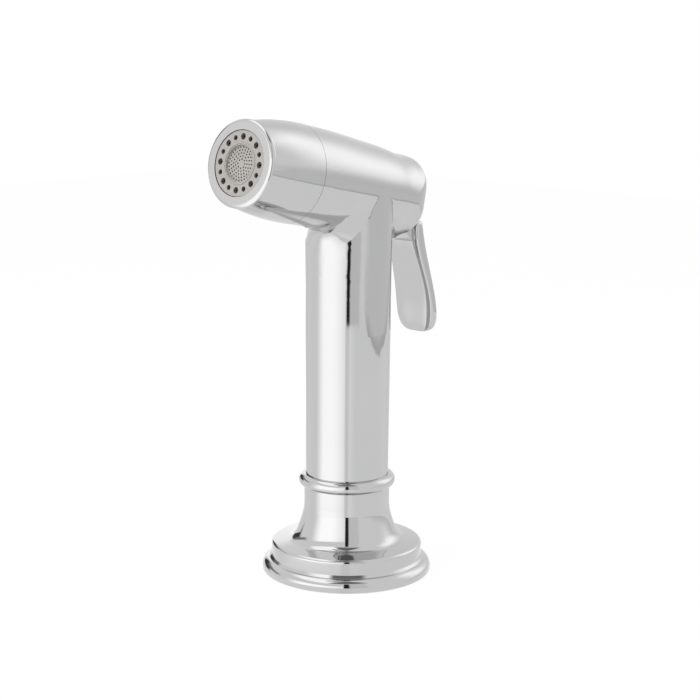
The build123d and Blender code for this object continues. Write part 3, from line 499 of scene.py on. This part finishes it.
def table_top(settings):
    """Matt white laminate that glows evenly white to the eye and takes a soft shadow; in mirrors it
    glows with painted light and painted shade instead of white.
    """
    material, tree, shader, place = new_material("white_laminate_painted_light")
    shader.inputs["Base Color"].default_value = linear("#F4F4F4")
    shader.inputs["Roughness"].default_value = 0.8
    bump(tree, shader, noise(tree, place, 1.5, 2), 0.01)
    ahead = dot_with(tree, place, towards_camera() / MM)
    right = dot_with(tree, place, to_the_right() / MM)
    around = math_node(tree, "DEGREES", math_node(tree, "ARCTAN2", right, ahead))
    far = add(tree, "VectorMath", {0: place}, operation="LENGTH").outputs["Value"]
    far = math_node(tree, "DIVIDE", far, MM)
    # the table's painted light and shade for mirrors: a painted pool of light and painted darker
    # patches
    level = lit_parts(tree, settings.mirrored_white, PAINTED_TABLE_LIGHT_AND_SHADE, around, far)
    edge_right = settings.table_right / MM
    # painted shade beyond the table's right edge, seen only in mirrors
    past = edge(tree, right, (edge_right, EDGE_SOFT), 0, 1)
    past = math_node(tree, "MULTIPLY", past, edge(tree, around, EDGE_FROM, 0, 1))
    reach, darkest, lighter = PAINTED_SHADE_BEYOND_EDGE
    painted_edge_shade = edge(tree, right, (edge_right + reach, reach), darkest, lighter)
    level = blended(tree, past, level, painted_edge_shade)
    seen = add(tree, "LightPath")
    mirrored = seen.outputs["Is Glossy Ray"]
    # the table glows: evenly white to the camera, and with its painted light and shade in mirrors
    level = blended(tree, mirrored, 1.0, level)
    glow = add(tree, "Emission", {"Strength": level})
    either = math_node(
        tree, "MAXIMUM", seen.outputs["Is Camera Ray"], seen.outputs["Is Transmission Ray"]
    )
    share = math_node(tree, "MAXIMUM", math_node(tree, "MULTIPLY", either, OWN_WHITE), mirrored)
    top = add(
        tree, "MixShader", {0: share, 1: shader.outputs["BSDF"], 2: glow.outputs["Emission"]}
    )
    output = next(n for n in tree.nodes if n.bl_idname == "ShaderNodeOutputMaterial")
    tree.links.new(top.outputs[0], output.inputs["Surface"])
    return material


def as_object(name, mesh_maker, material=None):
    """A new object at the origin from a bmesh, with its faces turned outwards."""
    bmesh.ops.recalc_face_normals(mesh_maker, faces=mesh_maker.faces)
    mesh = bpy.data.meshes.new(name)
    mesh_maker.to_mesh(mesh)
    mesh_maker.free()
    made = bpy.data.objects.new(name, mesh)
    bpy.context.scene.collection.objects.link(made)
    if material:
        mesh.materials.append(material)
    return made


# The paddle from its top to its round tip, in millimetres: height, front, back and half width
PADDLE_SECTIONS = (
    (113.3, 27.2, 31.9, 5.9),
    (112.6, 27.0, 32.2, 6.3),
    (107.0, 26.9, 33.3, 6.6),
    (101.0, 28.4, 34.6, 7.0),
    (95.5, 30.3, 35.8, 7.4),
    (90.0, 32.0, 37.0, 7.8),
    (85.0, 33.0, 38.1, 8.1),
    (80.5, 33.4, 38.9, 8.0),
    (77.4, 33.7, 39.4, 7.0),
    (75.4, 34.1, 39.6, 5.0),
    (74.7, 34.9, 39.4, 2.6),
)
# Half of its section behind the rounded front corner, as shares of half width and depth: the end
# of the side wall, the back's corner and the back's middle
PADDLE_BACK = [(1, 0.62), (0.72, 0.9), (0, 1.04)]
# Where the lever's neck leaves the paddle
NECK_CUT_Y = 27.29 * MM


def paddle_outline(settings, section):
    """The paddle's section from the middle of its front round to there again."""
    height, front, back, wide = section
    soft = settings.edge_rounding
    half = [(0, 0), (1 - soft, 0), (1, soft), *PADDLE_BACK]
    places = []
    for across, deep in half + [(-x, y) for x, y in reversed(half[1:-1])]:
        hollow = 0 if across else (1 - deep) * settings.dish
        place = Vector((across * wide, front + deep * (back - front), height)) * MM
        places.append(place + Vector((0, hollow, 0)))
    return places


def lofted(outlines):
    """A closed cage: a ring of points, extruded on from outline to outline."""
    maker = bmesh.new()
    ring = [maker.verts.new(place) for place in outlines[0]]
    maker.faces.new(ring)
    for outline in outlines[1:]:
        edges = [maker.edges.get((a, b)) for a, b in zip(ring, ring[1:] + ring[:1])]
        grown = bmesh.ops.extrude_edge_only(maker, edges=edges)["geom"]
        fresh = {v.co.to_tuple(7): v for v in grown if isinstance(v, bmesh.types.BMVert)}
        ring = [fresh[v.co.to_tuple(7)] for v in ring]
        for vert, place in zip(ring, outline):
            vert.co = place
    maker.faces.new(ring)
    return maker


class RINSE_OT_lever(bpy.types.Operator):
    """Model the squeeze lever with its rounded paddle"""

    bl_idname = "rinse.lever"
    bl_label = "Squeeze lever"

    def execute(self, context):
        settings = context.scene.rinse_lever
        outlines = [paddle_outline(settings, section) for section in PADDLE_SECTIONS]
        made = as_object("lever_paddle", lofted(outlines))
        smooth = made.modifiers.new("rounding", "SUBSURF")
        smooth.levels = smooth.render_levels = settings.smoothness
        made.data.shade_smooth()

        neck = bmesh.new()
        neck.from_mesh(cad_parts["squeeze_lever"].data)
        bmesh.ops.remove_doubles(neck, verts=neck.verts, dist=MERGE_WITHIN)
        whole = neck.verts[:] + neck.edges[:] + neck.faces[:]
        plane = {"plane_co": (0, NECK_CUT_Y, 0), "plane_no": (0, 1, 0)}
        cut = bmesh.ops.bisect_plane(neck, geom=whole, clear_outer=True, **plane)
        rim = [e for e in cut["geom_cut"] if isinstance(e, bmesh.types.BMEdge)]
        bmesh.ops.holes_fill(neck, edges=rim)
        root = as_object("lever_neck", neck)
        for piece in (made, root):
            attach(piece, "lever")
        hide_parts("squeeze_lever")
        return {"FINISHED"}


# The joint that shortens each spring, the way its moving end goes and how far
SPRINGS = {
    "valve_spring": (
        "valve_stroke",
        Vector((0, math.cos(BARREL_TILT), -math.sin(BARREL_TILT))),
        1.64 * MM,
    ),
    "check_valve_spring": ("check_valve_lift", Vector((0, 0, 1)), 2 * MM),
}


class RINSE_OT_springs(bpy.types.Operator):
    """Carry the springs over as smooth-shaded copies of their wire, at rest length"""

    bl_idname = "rinse.springs"
    bl_label = "Springs"

    def execute(self, context):
        for name, (joint, way, travel) in SPRINGS.items():
            coil = bmesh.new()
            coil.from_mesh(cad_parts[name].data)
            bmesh.ops.remove_doubles(coil, verts=coil.verts, dist=MERGE_WITHIN)
            made = as_object(name + "_wire", coil)
            made.data.shade_smooth()
            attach(made, "handset")
            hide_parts(name)
            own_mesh(made)
        return {"FINISHED"}


class RINSE_OT_finishes(bpy.types.Operator):
    """Give each carried-over piece its material"""

    bl_idname = "rinse.finishes"
    bl_label = "Finishes"

    def execute(self, context):
        colours = context.scene.rinse_colours
        finishes = {
            "plated_brass": plated_brass(colours),
            "turned_brass": turned_brass(colours),
            "drawn_steel": drawn_steel(colours),
            **moulded_finishes(colours),
        }
        dressed = 0
        for finish, nodes in NODE_FINISHES.items():
            for name in nodes:
                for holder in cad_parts[name].material_slots:
                    holder.material = finishes[finish]
                dressed += 1
        if dressed != len(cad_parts):
            raise RuntimeError("a piece has no finish")
        for finish, pieces in PIECE_FINISHES.items():
            for name in pieces:
                bpy.data.objects[name].data.materials.append(finishes[finish])
        return {"FINISHED"}


class RINSE_OT_studio(bpy.types.Operator):
    """Set the table, the room, the lamps and the camera"""

    bl_idname = "rinse.studio"
    bl_label = "Studio"

    def execute(self, context):
        settings = context.scene.rinse_studio
        maker = bmesh.new()
        bmesh.ops.create_grid(maker, x_segments=1, y_segments=1, size=1.0)
        table = as_object("table", maker, table_top(settings))

        white_room(settings)
        view = context.scene.view_settings
        view.view_transform = "Standard"

        ahead, right = towards_camera(), to_the_right()
        for name, ((near, aside, high), side) in SOFTBOXES.items():
            place = ahead * near + right * aside + Vector((0, 0, high))
            lamp = bpy.data.lights.new(name, "AREA")
            lamp.shape = "SQUARE"
            lamp.size = side
            lamp.energy = settings.key_light
            made = bpy.data.objects.new(name, lamp)
            made.location = place
            made.rotation_euler = (-place).to_track_quat("-Z", "Y").to_euler()
            made.visible_glossy = False
            made.visible_camera = False
            context.scene.collection.objects.link(made)

        lens = bpy.data.cameras.new("camera")
        lens.lens = settings.lens
        lens.sensor_width = 36
        lens.shift_x = settings.shift
        lens.clip_start = 0.01
        camera = bpy.data.objects.new("camera", lens)
        camera.location = ahead * settings.distance + Vector((0, 0, settings.height))
        turns = ((CAMERA_AZIMUTH, "Z"), (math.pi / 2 - settings.pitch, "X"), (settings.roll, "Z"))
        aim = Matrix.Identity(3)
        for angle, axis in turns:
            aim = aim @ Matrix.Rotation(angle, 3, axis)
        camera.rotation_euler = aim.to_euler()
        context.scene.collection.objects.link(camera)
        context.scene.camera = camera
        return {"FINISHED"}


class RINSE_PT_panel(bpy.types.Panel):
    bl_label = "Rinse Handset"
    bl_space_type = "VIEW_3D"
    bl_region_type = "UI"
    bl_category = "Rinse Handset"

    def draw(self, context):
        scene = context.scene
        for group in (scene.rinse_colours, scene.rinse_lever, scene.rinse_studio):
            for name in group.__annotations__:
                self.layout.prop(group, name)
        for operator in OPERATORS:
            self.layout.operator(operator.bl_idname)


OPERATORS = (RINSE_OT_studio, RINSE_OT_lever, RINSE_OT_springs, RINSE_OT_finishes)
CLASSES = (
    RinseHandsetColours,
    RinseHandsetLever,
    RinseHandsetStudio,
    *OPERATORS,
    RINSE_PT_panel,
)


def register():
    for made in CLASSES:
        bpy.utils.register_class(made)
    bpy.types.Scene.rinse_colours = bpy.props.PointerProperty(type=RinseHandsetColours)
    bpy.types.Scene.rinse_lever = bpy.props.PointerProperty(type=RinseHandsetLever)
    bpy.types.Scene.rinse_studio = bpy.props.PointerProperty(type=RinseHandsetStudio)


def unregister():
    del bpy.types.Scene.rinse_colours
    del bpy.types.Scene.rinse_lever
    del bpy.types.Scene.rinse_studio
    for made in reversed(CLASSES):
        bpy.utils.unregister_class(made)


def main():
    register()
    bpy.ops.rinse.studio()
    bpy.ops.rinse.lever()
    bpy.ops.rinse.springs()
    bpy.ops.rinse.finishes()


if __name__ == "__main__":
    main()
